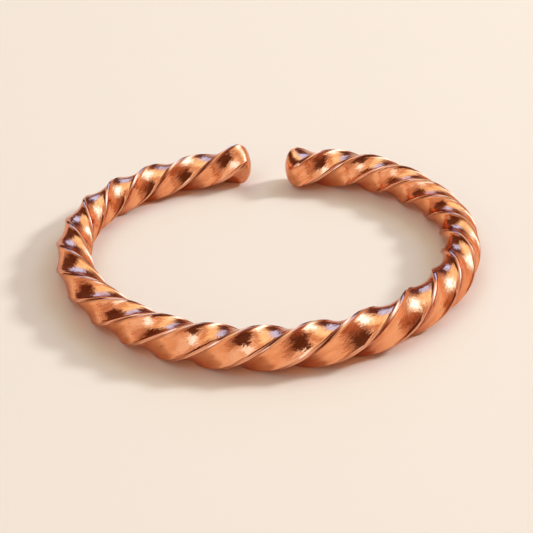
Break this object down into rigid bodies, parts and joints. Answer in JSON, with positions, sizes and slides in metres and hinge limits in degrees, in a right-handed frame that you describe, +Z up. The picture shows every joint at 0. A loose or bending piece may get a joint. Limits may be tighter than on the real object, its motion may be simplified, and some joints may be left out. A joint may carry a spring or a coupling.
{
  "type": "twisted copper bangle",
  "caption": "Open oval bangle made of a four-sided copper bar twisted along its length, with four narrow ridges and rounded ends, worn on the wrist.",
  "frame": {"origin": "middle of the bangle's box, on the surface that it rests on", "axes": "+Z up out of the flat bangle, +X along its longer side, +Y towards the gap between its ends"},
  "size_m": [0.0684, 0.0632, 0.0071],
  "materials": {
    "copper": "polished copper with a slightly satin underside"
  },
  "bodies": {
    "root": {"twisted_bar": "copper"}
  },
  "joints": []
}
